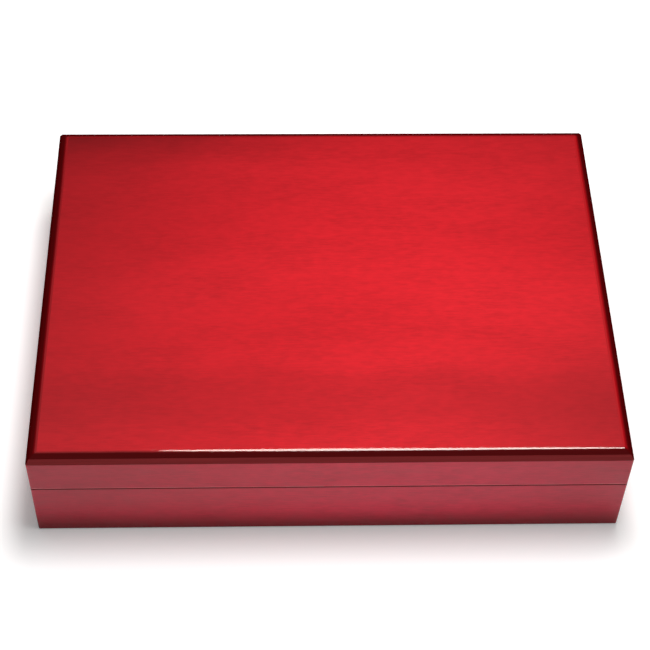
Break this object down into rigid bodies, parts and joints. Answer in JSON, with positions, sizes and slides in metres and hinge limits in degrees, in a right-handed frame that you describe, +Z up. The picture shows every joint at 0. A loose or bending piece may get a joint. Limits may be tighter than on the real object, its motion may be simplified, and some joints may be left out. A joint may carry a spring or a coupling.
{
  "type": "humidor",
  "caption": "Flat hinged cigar box in gloss-lacquered wood with a dark bevelled lid edge, cedar lining, dial hygrometer, magnet-held humidifier and sliding divider.",
  "frame": {"origin": "on the table, under the middle of the box", "axes": "+X to the box's right as seen from the front, +Y to the back where the hinges are, +Z up"},
  "size_m": [0.292, 0.221, 0.0611],
  "materials": {
    "lacquered_wood": "clear gloss lacquer over red-stained figured veneer",
    "dark_edging": "gloss lacquer over dark-stained hardwood",
    "cedar": "bare, sanded",
    "fibreboard": "bare",
    "felt": "pressed felt",
    "brass": "polished",
    "steel": "plain",
    "black_plastic": "fine matt grain",
    "foam": "open-cell foam",
    "dial": "matt printed",
    "pointer": "satin",
    "sensor_strip": "plain",
    "glass": "clear"
  },
  "bodies": {
    "base": {"base_front_wall": "lacquered_wood", "base_back_wall": "lacquered_wood", "base_left_wall": "lacquered_wood", "base_right_wall": "lacquered_wood", "base_floor": "fibreboard", "base_felt": "felt", "base_cedar_floor": "cedar", "base_cedar_front": "cedar", "base_cedar_back": "cedar", "base_cedar_left": "cedar", "base_cedar_right": "cedar", "hinge_left_base_leaf": "brass", "hinge_right_base_leaf": "brass", "hinge_left_pin": "steel", "hinge_right_pin": "steel", "hinge_base_screws": "brass"},
    "lid": {"lid_top_panel": "lacquered_wood", "lid_front_rail": "lacquered_wood", "lid_back_rail": "lacquered_wood", "lid_left_rail": "lacquered_wood", "lid_right_rail": "lacquered_wood", "lid_front_edging": "dark_edging", "lid_back_edging": "dark_edging", "lid_left_edging": "dark_edging", "lid_right_edging": "dark_edging", "lid_cedar_ceiling": "cedar", "lid_cedar_front": "cedar", "lid_cedar_back": "cedar", "lid_cedar_left": "cedar", "lid_cedar_right": "cedar", "hinge_left_lid_leaf": "brass", "hinge_right_lid_leaf": "brass", "hinge_lid_screws": "brass", "hygrometer_case": "brass", "hygrometer_bezel": "brass", "hygrometer_glass": "glass", "hygrometer_dial": "dial", "hygrometer_coil": "sensor_strip", "humidifier_plate": "steel"},
    "pointer": {"hygrometer_arbor": "steel", "hygrometer_pointer": "pointer"},
    "humidifier": {"humidifier_case": "black_plastic", "humidifier_grille": "black_plastic", "humidifier_foam": "foam", "humidifier_magnets": "steel"},
    "divider": {"divider": "cedar"}
  },
  "joints": [
    {"name": "lid_hinge", "type": "hinge", "parent": "base", "child": "lid", "pos_m": [0, 0.1077, 0.03645], "axis": [-1, 0, 0], "range_deg": [0, 95]},
    {"name": "hygrometer_pointer_turn", "type": "hinge", "parent": "lid", "child": "pointer", "pos_m": [-0.072, 0, 0.0506], "axis": [0, 0, 1], "range_deg": [-189, 81], "stiffness_Nm_per_rad": 0.0001},
    {"name": "humidifier_pull", "type": "slide", "parent": "lid", "child": "humidifier", "axis": [0, 0, -1], "range_m": [0, 0.01]},
    {"name": "divider_slide", "type": "slide", "parent": "base", "child": "divider", "axis": [1, 0, 0], "range_m": [-0.15, 0.07]}
  ]
}
